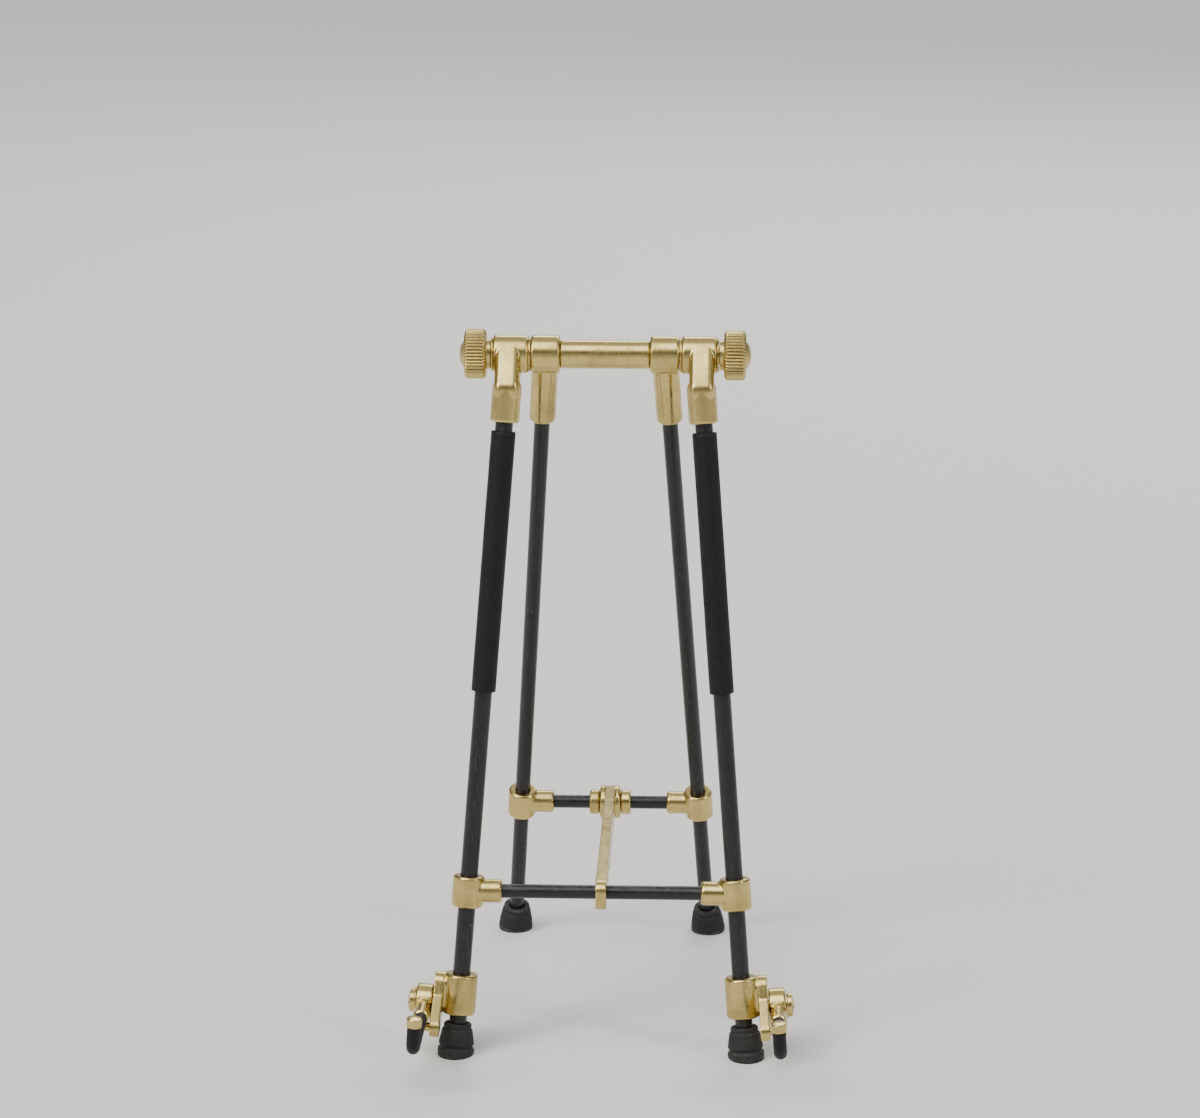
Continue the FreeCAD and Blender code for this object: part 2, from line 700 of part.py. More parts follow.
def main():
    os.makedirs("parts", exist_ok=True)
    for name, shape in all_nodes().items():
        solids = shape.Solids
        assert solids and shape.isValid(), name
        shape.exportStep("parts/" + name + ".step")
        print(f"{name:20} {len(solids)} solid, {sum(s.Volume for s in solids):9.2f} mm3")


if __name__ == "__main__":
    main()
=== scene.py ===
"""Looks of the folding plate easel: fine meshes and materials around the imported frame, in metres."""

import json
import math

import bmesh
import bpy
from mathutils import Matrix, Vector, noise


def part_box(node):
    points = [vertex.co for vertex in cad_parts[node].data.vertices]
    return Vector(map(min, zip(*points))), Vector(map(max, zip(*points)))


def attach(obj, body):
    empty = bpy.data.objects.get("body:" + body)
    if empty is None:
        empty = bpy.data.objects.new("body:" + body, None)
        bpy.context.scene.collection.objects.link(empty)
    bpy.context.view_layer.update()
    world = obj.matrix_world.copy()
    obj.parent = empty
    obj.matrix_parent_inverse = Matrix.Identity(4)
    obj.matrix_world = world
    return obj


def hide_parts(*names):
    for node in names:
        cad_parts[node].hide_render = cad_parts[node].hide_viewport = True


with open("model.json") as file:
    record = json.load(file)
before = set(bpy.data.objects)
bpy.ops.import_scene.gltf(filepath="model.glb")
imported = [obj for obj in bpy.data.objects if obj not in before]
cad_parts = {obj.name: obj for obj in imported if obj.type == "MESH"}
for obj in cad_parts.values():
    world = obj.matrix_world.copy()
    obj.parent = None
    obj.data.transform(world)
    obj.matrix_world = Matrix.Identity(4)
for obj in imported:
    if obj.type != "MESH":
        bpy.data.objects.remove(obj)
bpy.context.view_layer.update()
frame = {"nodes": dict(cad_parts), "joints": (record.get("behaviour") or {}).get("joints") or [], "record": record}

MM = 0.001
SIDES = {"left": -1, "right": 1}

# Camera
VIEW_AZIMUTH = math.radians(2.0)
VIEW_HEIGHT = math.radians(15)
VIEW_DISTANCE = 0.80
PICTURE_WIDTH = 0.2700  # what the picture spans at the aim point
AIM = Vector((-0.0007, -0.0118, 0.1133))
SENSOR = 36.0

# Sizes of the pieces that are remade here, as in the part
ARM_REACH = 30.0 * MM
ARM_BEND_R = 3.0 * MM
ARM_BOSS_END = 10.6 * MM
PRONG_RISE = 8.2 * MM
CAP_HEIGHT = 2.1 * MM
CAP_R = 1.75 * MM
ROD_R = 1.1 * MM
SLEEVE_R = 1.5 * MM
LEG_R = 2.0 * MM
STRUT_R = 1.8 * MM
REST_R = 2.8 * MM
FOOT_R = 4.2 * MM
FOOT_TOP_R = 3.2 * MM
NUT_R = 5.6 * MM
NUT_W = 5.0 * MM
AXLE_R = 2.0 * MM
RUNNING = 0.05 * MM  # clearance of a turning fit

# Fineness of the remade meshes
ARM_STEPS = 22  # rings along the arm's straight part, and again along its bend
PRONG_STEPS = 7
SLEEVE_SEGMENTS = 40
REST_STEPS = 60
REST_SEGMENTS = 48
CAP_SEGMENTS = 72
FOOT_SEGMENTS = 56
SPACER_STEPS = 90
SPACER_SEGMENTS = 96
NUT_TEETH = 44
SEGMENTS_PER_TOOTH = 8

# A turned piece's own axes where it sits on the axle
AXLE_AXES = (Vector((0, 1, 0)), Vector((0, 0, 1)), Vector((1, 0, 0)))


# ---------------------------------------------------------------- directions taken from the frame
def joint(name):
    return next(j for j in frame["joints"] if j["name"] == name)


def basis(origin, x_axis, y_axis, z_axis):
    """A matrix that carries a piece's own axes into the frame."""
    columns = Matrix((x_axis, y_axis, z_axis)).transposed().to_4x4()
    return Matrix.Translation(origin) @ columns


def arm_place():
    """The right arm's own axes: X forward along the arm, Z up the prong, at the pivot."""
    fold = joint("right_arm_fold")
    outward = -Vector(fold["axis"])
    forward = outward.cross(Vector((0, 0, 1))).normalized()
    up = forward.cross(outward).normalized()
    return basis(Vector(fold["pos_m"]), forward, up.cross(forward), up)


def rod_ends(node):
    """The two ends of a straight rod's axis, the lower first."""
    points = [v.co for v in frame["nodes"][node].data.vertices]
    low = min(p.z for p in points)
    high = max(p.z for p in points)
    reach = (high - low) * 0.1
    bottom = [p for p in points if p.z < low + reach]
    top = [p for p in points if p.z > high - reach]
    return sum(bottom, Vector()) / len(bottom), sum(top, Vector()) / len(top)


def along(origin, direction):
    """A place whose Z runs in the direction and whose X is across the stand."""
    z = direction.normalized()
    y = z.cross(Vector((1, 0, 0))).normalized()
    return basis(origin, y.cross(z), y, z)


# ---------------------------------------------------------------- mesh making
def new_piece(name, mesh_builder, body, material, replaced):
    """Makes an object from a bmesh, puts it on its body and lets it stand for its CAD nodes."""
    mesh = bpy.data.meshes.new(name)
    bmesh.ops.recalc_face_normals(mesh_builder, faces=mesh_builder.faces)
    mesh_builder.to_mesh(mesh)
    mesh_builder.free()
    mesh.polygons.foreach_set("use_smooth", [True] * len(mesh.polygons))
    piece = bpy.data.objects.new(name, mesh)
    bpy.context.scene.collection.objects.link(piece)
    mesh.materials.append(material)
    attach(piece, body)
    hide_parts(*replaced)
    return piece


def ring_stack(rings, hollow=False):
    """A skin through rings of points.

    A ring of one point closes an end, and hollow joins the last ring to the first.
    """
    mesh = bmesh.new()
    rows = [[mesh.verts.new(point) for point in ring] for ring in rings]
    pairs = list(zip(rows, rows[1:]))
    if hollow:
        pairs.append((rows[-1], rows[0]))
    for lower, upper in pairs:
        count = max(len(lower), len(upper))
        for k in range(count):
            n = (k + 1) % count
            low_edge = [lower[k % len(lower)], lower[n % len(lower)]]
            high_edge = [upper[n % len(upper)], upper[k % len(upper)]]
            unique = list(dict.fromkeys(low_edge + high_edge))
            if len(unique) > 2:
                mesh.faces.new(unique)
    return mesh


def close_start(mesh, ring_size):
    """Closes the first ring with a flat face."""
    mesh.verts.ensure_lookup_table()
    mesh.faces.new(list(reversed(mesh.verts[:ring_size])))


def close_finish(mesh, ring_size):
    """Closes the last ring with a flat face."""
    mesh.verts.ensure_lookup_table()
    mesh.faces.new(mesh.verts[-ring_size:])


def lathe(profile, place, segments, radius_at=None, hollow=False):
    """Turns (radius, height) points about Z. radius_at may change a radius by its angle and height."""
    on_axis = 1e-9
    rings = []
    for radius, height in profile:
        if radius < on_axis:
            rings.append([place @ Vector((0, 0, height))])
            continue
        ring = []
        for k in range(segments):
            angle = 2 * math.pi * k / segments
            r = radius_at(radius, angle, height) if radius_at else radius
            ring.append(place @ Vector((r * math.cos(angle), r * math.sin(angle), height)))
        rings.append(ring)
    return ring_stack(rings, hollow)


def curve_points(start, end, bulge, count):
    """Points after start, up to end, on the smooth curve that leaves and arrives in line with the bulge."""
    points = []
    for k in range(1, count + 1):
        t = k / count
        a = (1 - t) ** 2
        b = 2 * t * (1 - t)
        c = t * t
        points.append(tuple(a * s + b * m + c * e for s, m, e in zip(start, bulge, end)))
    return points


def rounded(profile, radius, count=4):
    """The profile with each corner between its two ends rounded."""
    most = 0.45  # share of a side that one rounding may take
    points = [profile[0]]
    for before, corner, after in zip(profile, profile[1:], profile[2:]):
        to_before = Vector(before) - Vector(corner)
        to_after = Vector(after) - Vector(corner)
        reach = min(radius, to_before.length * most, to_after.length * most)
        start = Vector(corner) + to_before.normalized() * reach
        end = Vector(corner) + to_after.normalized() * reach
        points.append(tuple(start))
        points.extend(curve_points(start, end, corner, count))
    points.append(profile[-1])
    return points


def mirrored(mesh_builder):
    for vertex in mesh_builder.verts:
        vertex.co.x = -vertex.co.x
    return mesh_builder


def paired(name, make, body, material, varied=False):
    """A piece on each side, made on the right and mirrored for the left.

    body may hold {side}. A varied piece takes a seed, so that its two sides differ a little.
    """
    for side, sign in SIDES.items():
        mesh = make(sign) if varied else make()
        if sign < 0:
            mesh = mirrored(mesh)
        node = f"{side}_{name}"
        new_piece(f"{node}_skin", mesh, body.format(side=side), material, [node])


# ---------------------------------------------------------------- node helpers
MIX_INPUTS = (0, 6, 7)  # a colour mix node's factor and its two colours
MIX_RESULT = 2


class Shader:
    """A material under construction, with short calls for its nodes."""

    def __init__(self, name):
        self.material = bpy.data.materials.new(name)
        self.material.use_nodes = True
        self.tree = self.material.node_tree
        self.surface = self.tree.nodes["Principled BSDF"]
        self.places = self.tree.nodes.new("ShaderNodeTexCoord")

    def feed(self, socket, value):
        """Links an output to the socket, or sets the socket's own value."""
        if isinstance(value, bpy.types.NodeSocket):
            self.tree.links.new(value, socket)
        else:
            socket.default_value = value

    def node(self, kind, inputs=None, **settings):
        made = self.tree.nodes.new(kind)
        for key, value in settings.items():
            setattr(made, key, value)
        for key, value in (inputs or {}).items():
            self.feed(made.inputs[key], value)
        return made

    def noise(self, scale, detail=3.0, roughness=0.55, distortion=0.0, stretch=None):
        where = self.places.outputs["Object"]
        if stretch:
            where = self.node("ShaderNodeMapping", {"Vector": where, "Scale": stretch}).outputs[0]
        inputs = {
            "Vector": where,
            "Scale": scale,
            "Detail": detail,
            "Roughness": roughness,
            "Distortion": distortion,
        }
        return self.node("ShaderNodeTexNoise", inputs).outputs["Fac"]

    def cells(self, scale, randomness=1.0):
        inputs = {"Vector": self.places.outputs["Object"], "Scale": scale, "Randomness": randomness}
        return self.node("ShaderNodeTexVoronoi", inputs).outputs["Distance"]

    def remap(self, value, low, high, to_low=0.0, to_high=1.0):
        """The value's range from low to high, clamped and carried to another range."""
        inputs = {"Value": value, "From Min": low, "From Max": high, "To Min": to_low, "To Max": to_high}
        return self.node("ShaderNodeMapRange", inputs, clamp=True).outputs[0]

    def math(self, operation, first, second):
        made = self.node("ShaderNodeMath", {0: first, 1: second}, operation=operation)
        return made.outputs[0]

    def scaled(self, value, factor):
        return self.math("MULTIPLY", value, factor)

    def mix(self, factor, first, second):
        """A colour between two colours."""
        inputs = dict(zip(MIX_INPUTS, (factor, first, second)))
        return self.node("ShaderNodeMix", inputs, data_type="RGBA").outputs[MIX_RESULT]

    def up_facing(self):
        """1 where the rest pose's surface faces up, where dust settles."""
        split = self.node("ShaderNodeSeparateXYZ", {"Vector": self.places.outputs["Normal"]})
        return self.remap(split.outputs["Z"], 0.2, 0.95)

    def dust(self, scale, roughness, thin, thick):
        """Patchy dust on the faces that look up, by the noise's thin and thick levels."""
        return self.scaled(self.up_facing(), self.remap(self.noise(scale, 5, roughness), thin, thick))

    def bump(self, height, distance, strength=1.0, below=None):
        inputs = {"Height": height, "Distance": distance, "Strength": strength}
        if below is not None:
            inputs["Normal"] = below
        return self.node("ShaderNodeBump", inputs).outputs[0]

    def finish(self, colour, roughness, normal, **constants):
        """Feeds the surface. The constants are set on its own sockets, with _ for a space."""
        self.feed(self.surface.inputs["Base Color"], colour)
        self.feed(self.surface.inputs["Roughness"], roughness)
        self.feed(self.surface.inputs["Normal"], normal)
        for key, value in constants.items():
            self.feed(self.surface.inputs[key.replace("_", " ")], value)
        return self.material


# ---------------------------------------------------------------- materials
TURNED_ABOUT_X = (1.0, 0.03, 0.03)  # stretches a noise into rings about X
TURNED_ABOUT_Z = (0.03, 0.03, 1.0)
DRAWN_ALONG_X = (0.04, 1.0, 1.0)  # stretches a noise into lines along X
DRAWN_ALONG_Z = (1.0, 1.0, 0.04)
LINT_STRETCH = (1.0, 0.35, 0.6)


def brass(name, worn_edges, tool_marks=None):
    """Polished brass gone a little dull: tarnish in the hollows and patches, fine marks, handled edges."""
    deep = (0.55, 0.42, 0.14, 1)
    pale = (0.67, 0.53, 0.21, 1)
    tarnish = (0.29, 0.21, 0.07, 1)
    spot = (0.13, 0.085, 0.03, 1)
    grime = (0.15, 0.09, 0.03, 1)
    rubbed = (0.78, 0.64, 0.30, 1)
    s = Shader(name)
    cloud = s.noise(150, detail=4, roughness=0.6, distortion=0.4)
    patches = s.remap(cloud, 0.45, 0.72)
    colour = s.mix(s.noise(1400, detail=3, roughness=0.6), deep, pale)
    colour = s.mix(s.scaled(patches, 0.6), colour, tarnish)
    specks = s.remap(s.noise(2300, detail=2, roughness=0.5), 0.66, 0.74)
    colour = s.mix(s.scaled(specks, 0.45), colour, spot)
    if tool_marks:
        marks = s.noise(2600, detail=2, roughness=0.6, stretch=tool_marks)
    else:
        marks = s.noise(1500, detail=3, roughness=0.7, distortion=0.3)
    roughness = s.remap(cloud, 0.3, 0.75, to_low=0.14, to_high=0.33)
    roughness = s.math("ADD", roughness, s.remap(marks, 0.42, 0.75, to_low=0.0, to_high=0.08))
    if worn_edges:
        point = s.node("ShaderNodeNewGeometry").outputs["Pointiness"]
        hollow = s.remap(point, 0.488, 0.445, to_low=0.0, to_high=0.85)
        colour = s.mix(hollow, colour, grime)
        handled = s.remap(cloud, 0.62, 0.42, to_low=0.0, to_high=0.4)
        colour = s.mix(s.scaled(s.remap(point, 0.55, 0.62), handled), colour, rubbed)
        roughness = s.math("ADD", roughness, s.scaled(hollow, 0.25))
    normal = s.bump(marks, 0.012 * MM, 0.35)
    normal = s.bump(s.noise(380, detail=3, roughness=0.5), 0.03 * MM, 0.25, below=normal)
    return s.finish(colour, roughness, normal, Metallic=1.0)


def lacquer(name, drawn):
    """Satin black lacquer on drawn steel rod: hairlines along it, settled dust and a few pin chips."""
    black = (0.007, 0.007, 0.008, 1)
    faded = (0.014, 0.014, 0.015, 1)
    scratched = (0.20, 0.19, 0.18, 1)
    dusty = (0.30, 0.29, 0.27, 1)
    bare_steel = (0.20, 0.19, 0.175, 1)
    s = Shader(name)
    colour = s.mix(s.noise(220, detail=3), black, faded)
    hairlines = s.remap(s.noise(2400, detail=2, roughness=0.5, stretch=drawn), 0.60, 0.72)
    colour = s.mix(s.scaled(hairlines, 0.12), colour, scratched)
    dust = s.dust(700, roughness=0.7, thin=0.45, thick=0.75)
    colour = s.mix(s.scaled(dust, 0.2), colour, dusty)
    worn_spots = s.remap(s.noise(60, detail=2, roughness=0.4), 0.58, 0.64)
    chips = s.scaled(s.remap(s.cells(420), 0.10, 0.05), worn_spots)
    colour = s.mix(s.scaled(chips, 0.7), colour, bare_steel)
    roughness = s.remap(s.noise(330, detail=4, roughness=0.6), 0.3, 0.7, to_low=0.24, to_high=0.38)
    roughness = s.math("ADD", roughness, s.scaled(dust, 0.25))
    normal = s.bump(s.noise(950, detail=2, roughness=0.4), 0.02 * MM, 0.3)
    normal = s.bump(hairlines, -0.01 * MM, 0.4, below=normal)
    normal = s.bump(chips, -0.05 * MM, 0.8, below=normal)
    return s.finish(colour, roughness, normal, Specular_IOR_Level=0.32, Coat_Weight=0.1, Coat_Roughness=0.18)


def vinyl():
    """Matte black vinyl tube with a faint grain, lint and handling marks."""
    black = (0.0045, 0.0045, 0.0052, 1)
    handled = (0.0100, 0.0098, 0.0100, 1)
    dusty = (0.26, 0.25, 0.23, 1)
    fibre = (0.32, 0.31, 0.29, 1)
    s = Shader("black_vinyl_matte")
    colour = s.mix(s.noise(300, detail=3), black, handled)
    dust = s.dust(900, roughness=0.75, thin=0.5, thick=0.8)
    colour = s.mix(s.scaled(dust, 0.2), colour, dusty)
    lint = s.noise(2600, detail=1, roughness=0.3, distortion=1.5, stretch=LINT_STRETCH)
    colour = s.mix(s.scaled(s.remap(lint, 0.75, 0.78), 0.12), colour, fibre)
    roughness = s.remap(s.noise(240, detail=4, roughness=0.6), 0.3, 0.7, to_low=0.46, to_high=0.64)
    normal = s.bump(s.noise(5200, detail=2, roughness=0.5), 0.02 * MM, 0.5)
    normal = s.bump(s.noise(260, detail=3, roughness=0.5), 0.08 * MM, 0.25, below=normal)
    return s.finish(colour, roughness, normal, Specular_IOR_Level=0.22)


def rubber():
    """Moulded black rubber, greyed by dust and scuffed where it meets the floor."""
    black = (0.012, 0.012, 0.012, 1)
    greyed = (0.024, 0.023, 0.022, 1)
    scuff = (0.14, 0.135, 0.125, 1)
    dusty = (0.24, 0.23, 0.21, 1)
    scuff_top = 2.2 * MM
    scuff_full = 0.2 * MM
    s = Shader("rubber_moulded")
    colour = s.mix(s.noise(420, detail=4), black, greyed)
    height = s.node("ShaderNodeSeparateXYZ", {"Vector": s.places.outputs["Object"]}).outputs["Z"]
    near_floor = s.remap(height, scuff_top, scuff_full)
    scuffed = s.scaled(near_floor, s.remap(s.noise(1100, detail=5, roughness=0.7), 0.4, 0.7))
    colour = s.mix(s.scaled(scuffed, 0.35), colour, scuff)
    dust = s.dust(800, roughness=0.7, thin=0.42, thick=0.75)
    colour = s.mix(s.scaled(dust, 0.3), colour, dusty)
    roughness = s.remap(s.noise(600, detail=3), 0.3, 0.7, to_low=0.6, to_high=0.8)
    normal = s.bump(s.noise(3600, detail=3, roughness=0.6), 0.03 * MM, 0.6)
    return s.finish(colour, roughness, normal, Specular_IOR_Level=0.28)


def blackened_steel():
    """Oil-blackened set screws, unevenly coloured."""
    black = (0.06, 0.06, 0.065, 1)
    thin_black = (0.16, 0.155, 0.15, 1)
    s = Shader("steel_blackened")
    colour = s.mix(s.noise(1800, detail=3), black, thin_black)
    roughness = s.remap(s.noise(2600, detail=2), 0.3, 0.7, to_low=0.28, to_high=0.45)
    normal = s.bump(s.noise(4200, detail=2), 0.02 * MM, 0.4)
    return s.finish(colour, roughness, normal, Metallic=1.0)


def pale_floor():
    warm_grey = (0.70, 0.69, 0.67, 1)
    lighter = (0.73, 0.72, 0.70, 1)
    s = Shader("floor_pale")
    colour = s.mix(s.noise(700, detail=3), warm_grey, lighter)
    roughness = s.remap(s.noise(40, detail=3), 0.3, 0.7, to_low=0.80, to_high=0.90)
    normal = s.bump(s.noise(900, detail=2), 0.05 * MM, 0.15)
    return s.finish(colour, roughness, normal, Specular_IOR_Level=0.1)


# ---------------------------------------------------------------- pieces remade from fine meshes
def arm_path():
    """Points along the arm's centre line, each with how far the line has turned, in the arm's own axes."""
    corner = ARM_REACH - ARM_BEND_R
    top = PRONG_RISE - CAP_HEIGHT
    line = []
    for k in range(ARM_STEPS):
        line.append((Vector((ARM_BOSS_END + (corner - ARM_BOSS_END) * k / ARM_STEPS, 0, 0)), 0.0))
    for k in range(ARM_STEPS + 1):
        turn = math.pi / 2 * k / ARM_STEPS
        x = corner + ARM_BEND_R * math.sin(turn)
        line.append((Vector((x, 0, ARM_BEND_R * (1 - math.cos(turn)))), turn))
    for k in range(1, PRONG_STEPS + 1):
        height = ARM_BEND_R + (top - ARM_BEND_R) * k / PRONG_STEPS
        line.append((Vector((ARM_REACH, 0, height)), math.pi / 2))
    return line


def sleeve_ring(centre, turn, radius, place, pinch=None):
    """A ring round the arm's line. pinch may take a share of the radius off by its angle."""
    ring = []
    inward = Vector((-math.sin(turn), 0, math.cos(turn)))
    across = Vector((0, 1, 0))
    for k in range(SLEEVE_SEGMENTS):
        angle = 2 * math.pi * k / SLEEVE_SEGMENTS
        r = radius * (1 - (pinch(angle) if pinch else 0))
        ring.append(place @ (centre + (inward * math.cos(angle) + across * math.sin(angle)) * r))
    return ring


def sleeve_pinch(centre, turn, seed):
    """What the bend's wrinkles and a slow drift take off the sleeve's radius, by the angle."""
    least = 0.008
    drift_size = 0.008
    drift_scale = 400
    wrinkle_size = 0.085
    wrinkle_rate = 26
    bend = math.sin(2 * turn)
    wrinkle = 0.5 + 0.5 * math.sin(turn * wrinkle_rate + seed)

    def pinch(angle):
        inside = max(0.0, math.cos(angle)) ** 2
        drift = drift_size * noise.noise(Vector((centre.x * drift_scale, angle, seed)))
        return least + abs(drift) + wrinkle_size * bend * wrinkle * inside

    return pinch


def arm_sleeve(seed):
    """Soft tube over the arm. It wrinkles inside the bend, and its cut ends are a little rounded."""
    place = arm_place()
    line = arm_path()
    rings = []
    start, first_turn = line[0]
    end, last_turn = line[-1]
    # Each end's rings by radius and by distance from the cut, from the bore outwards
    ends = [(ROD_R, 0.0), (SLEEVE_R * 0.93, 0.0), (SLEEVE_R * 0.985, 0.08 * MM)]
    for radius, inset in ends:
        rings.append(sleeve_ring(start + Vector((inset, 0, 0)), first_turn, radius, place))
    for centre, turn in line[1:-1]:
        rings.append(sleeve_ring(centre, turn, SLEEVE_R, place, sleeve_pinch(centre, turn, seed)))
    for radius, inset in reversed(ends):
        rings.append(sleeve_ring(end - Vector((0, 0, inset)), last_turn, radius, place))
    mesh = ring_stack(rings)
    close_start(mesh, SLEEVE_SEGMENTS)
    close_finish(mesh, SLEEVE_SEGMENTS)
    return mesh


def tip_cap():
    """A plain turned ferrule with a rounded rim and a nearly flat top."""
    low = PRONG_RISE - CAP_HEIGHT
    crown = 0.09 * MM
    rim = 0.42 * MM
    edge = 0.12 * MM
    crown_low = PRONG_RISE - crown
    wall = rounded([(0, low), (CAP_R, low), (CAP_R, crown_low)], edge)[:-1]
    shoulder = (CAP_R, crown_low - rim)
    flat = (CAP_R - rim, crown_low)
    profile = wall + [shoulder] + curve_points(shoulder, flat, (CAP_R, crown_low), 8)
    profile += curve_points(flat, (0, PRONG_RISE), (CAP_R / 2, PRONG_RISE), 6)
    place = arm_place() @ Matrix.Translation((ARM_REACH, 0, 0))
    return lathe(profile, place, CAP_SEGMENTS)


def knurl(radius, angle, height):
    """Cuts the nut's teeth, deepest at its full radius and fading out towards its sides."""
    floor_r = NUT_R - 0.62 * MM
    share = 0.62
    sharpness = 0.6
    depth = max(0.0, radius - floor_r)
    wave = 0.5 + 0.5 * math.cos(NUT_TEETH * angle)
    return radius - depth * share * (1 - wave**sharpness)


def thumb_nut():
    """A knurled nut with chamfered ends, a neck ring towards the head and a domed button."""
    low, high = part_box("right_thumb_nut")
    neck_r = 3.4 * MM
    neck_end = 1.0 * MM
    knurl_end = neck_end + NUT_W
    chamfer_r = NUT_R - 0.75 * MM
    chamfer = 0.6 * MM
    groove_outer_r = 3.7 * MM
    groove_r = 3.45 * MM
    groove_depth = 0.35 * MM
    button_r = 3.2 * MM
    dome_r = 2.0 * MM
    profile = [
        (AXLE_R * 1.1, 0),
        (neck_r, 0),
        (neck_r, neck_end),
        (chamfer_r, neck_end),
        (NUT_R, neck_end + chamfer),
        (NUT_R, knurl_end - chamfer),
        (chamfer_r, knurl_end),
        (groove_outer_r, knurl_end),
        (groove_r, knurl_end - groove_depth),
        (button_r, knurl_end),
    ]
    profile = rounded(profile, 0.14 * MM)
    dome_top = high.x - low.x
    profile += curve_points(profile[-1], (0, dome_top), (dome_r, dome_top), 8)
    centre = (low + high) / 2
    place = basis(Vector((low.x, centre.y, centre.z)), *AXLE_AXES)
    segments = NUT_TEETH * SEGMENTS_PER_TOOTH
    mesh = lathe(profile, place, segments, knurl)
    close_start(mesh, segments)
    return mesh


def foot(rod_node, rod_radius, foot_node):
    """A moulded push-on foot, in line with its rod and pressed flat on the floor."""
    low_end, high_end = rod_ends(rod_node)
    direction = (high_end - low_end).normalized()
    on_floor = low_end - direction * (low_end.z / direction.z)
    top = (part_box(foot_node)[1].z - FOOT_TOP_R * math.hypot(direction.x, direction.y)) / direction.z
    below = -3 * MM  # cut off at the floor
    sole_r = FOOT_R * 0.97
    groove_r = FOOT_R - 0.42 * MM
    lip = 0.3 * MM
    profile = [
        (0, below),
        (sole_r, below),
        (sole_r, 0.1 * MM),
        (FOOT_R, 0.5 * MM),
        (FOOT_R, 1.35 * MM),
        (groove_r, 1.7 * MM),
        (groove_r, 2.15 * MM),
        (FOOT_R - 0.12 * MM, 2.55 * MM),  # the skirt's widest
        (FOOT_TOP_R + 0.30 * MM, top - 1.5 * MM),
        (FOOT_TOP_R - 0.05 * MM, top - 1.25 * MM),  # the step under the cuff
        (FOOT_TOP_R, top - lip),
        (FOOT_TOP_R - 0.35 * MM, top),
        (rod_radius + 0.25 * MM, top),
        (rod_radius, top - lip),
        (0, top - lip),
    ]
    profile = rounded(profile, 0.16 * MM)
    mesh = lathe(profile, along(on_floor, direction), FOOT_SEGMENTS)
    everything = mesh.verts[:] + mesh.edges[:] + mesh.faces[:]
    bmesh.ops.bisect_plane(mesh, geom=everything, plane_co=(0, 0, 0), plane_no=(0, 0, -1), clear_outer=True)
    rim = [edge for edge in mesh.edges if edge.is_boundary]
    bmesh.ops.contextual_create(mesh, geom=rim)
    return mesh


def front_foot():
    return foot("right_leg", LEG_R, "right_front_foot")


def rear_foot():
    return foot("right_strut_rod", STRUT_R, "right_rear_foot")


def rest_sleeve(seed):
    """Soft tube pushed onto the leg, slightly uneven, with cut ends."""
    low_end, high_end = rod_ends("right_leg")
    direction = (high_end - low_end).normalized()
    low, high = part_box("right_rest_sleeve")
    tilt = math.hypot(direction.x, direction.y)
    first = (low.z + REST_R * tilt - low_end.z) / direction.z
    last = (high.z - REST_R * tilt - low_end.z) / direction.z
    wall_r = REST_R * 0.99
    end_r = REST_R * 0.94
    edge = 0.15 * MM
    profile = [(LEG_R, first), (end_r, first), (wall_r, first + edge)]
    for k in range(1, REST_STEPS):
        profile.append((wall_r, first + (last - first) * k / REST_STEPS))
    profile += [(wall_r, last - edge), (end_r, last), (LEG_R, last)]

    def uneven(radius, angle, height):
        around = 1.5
        lengthwise = 130
        seed_step = 7
        most = 0.009
        where = (math.cos(angle) * around, math.sin(angle) * around, height * lengthwise + seed * seed_step)
        return radius * (1 + most * noise.noise(Vector(where)))

    return lathe(profile, along(low_end, direction), REST_SEGMENTS, uneven, hollow=True)


def spacer_tube():
    """The turned tube between the strut's knuckles, with rounded ends and shallow rings from the tool."""
    low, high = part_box("spacer_tube")
    centre = (low + high) / 2
    half = (high.x - low.x) / 2
    radius = (high.z - low.z) / 2
    bore = AXLE_R + RUNNING
    end = 0.3 * MM
    ring_depth = 0.004 * MM
    ring_phase = 2.1  # radians of the tool's rings from one step to the next
    profile = [(bore, -half), (radius - end, -half), (radius, end - half)]
    for k in range(1, SPACER_STEPS):
        z = (half - end) * (2 * k / SPACER_STEPS - 1)
        profile.append((radius - ring_depth * (0.5 + 0.5 * math.sin(k * ring_phase)), z))
    profile += [(radius, half - end), (radius - end, half), (bore, half)]
    return lathe(profile, basis(centre, *AXLE_AXES), SPACER_SEGMENTS, hollow=True)


# ---------------------------------------------------------------- fittings softened from the CAD meshes
def weld(mesh):
    """Joins the points that the mesh's faces share in place but not in fact."""
    welded = bmesh.new()
    welded.from_mesh(mesh)
    bmesh.ops.remove_doubles(welded, verts=welded.verts, dist=0.001 * MM)
    welded.to_mesh(mesh)
    welded.free()


def applied(piece):
    """The piece's mesh with its modifiers applied."""
    bpy.context.view_layer.update()
    graph = bpy.context.evaluated_depsgraph_get()
    return bpy.data.meshes.new_from_object(piece.evaluated_get(graph))


def cast(node, body, voxel, material, smoothing):
    """Softens a CAD fitting's edges and inner corners, as tumbling and polishing leaves them."""
    source = frame["nodes"][node]
    piece = bpy.data.objects.new(node + "_cast", source.data.copy())
    bpy.context.scene.collection.objects.link(piece)
    weld(piece.data)
    remesh = piece.modifiers.new("remesh", "REMESH")
    remesh.mode = "VOXEL"
    remesh.voxel_size = voxel
    smooth = piece.modifiers.new("smooth", "SMOOTH")
    smooth.factor = 0.5
    smooth.iterations = smoothing
    final = applied(piece)
    piece.modifiers.clear()
    piece.data = final
    final.polygons.foreach_set("use_smooth", [True] * len(final.polygons))
    final.materials.clear()
    final.materials.append(material)
    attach(piece, body)
    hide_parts(node)
    return piece


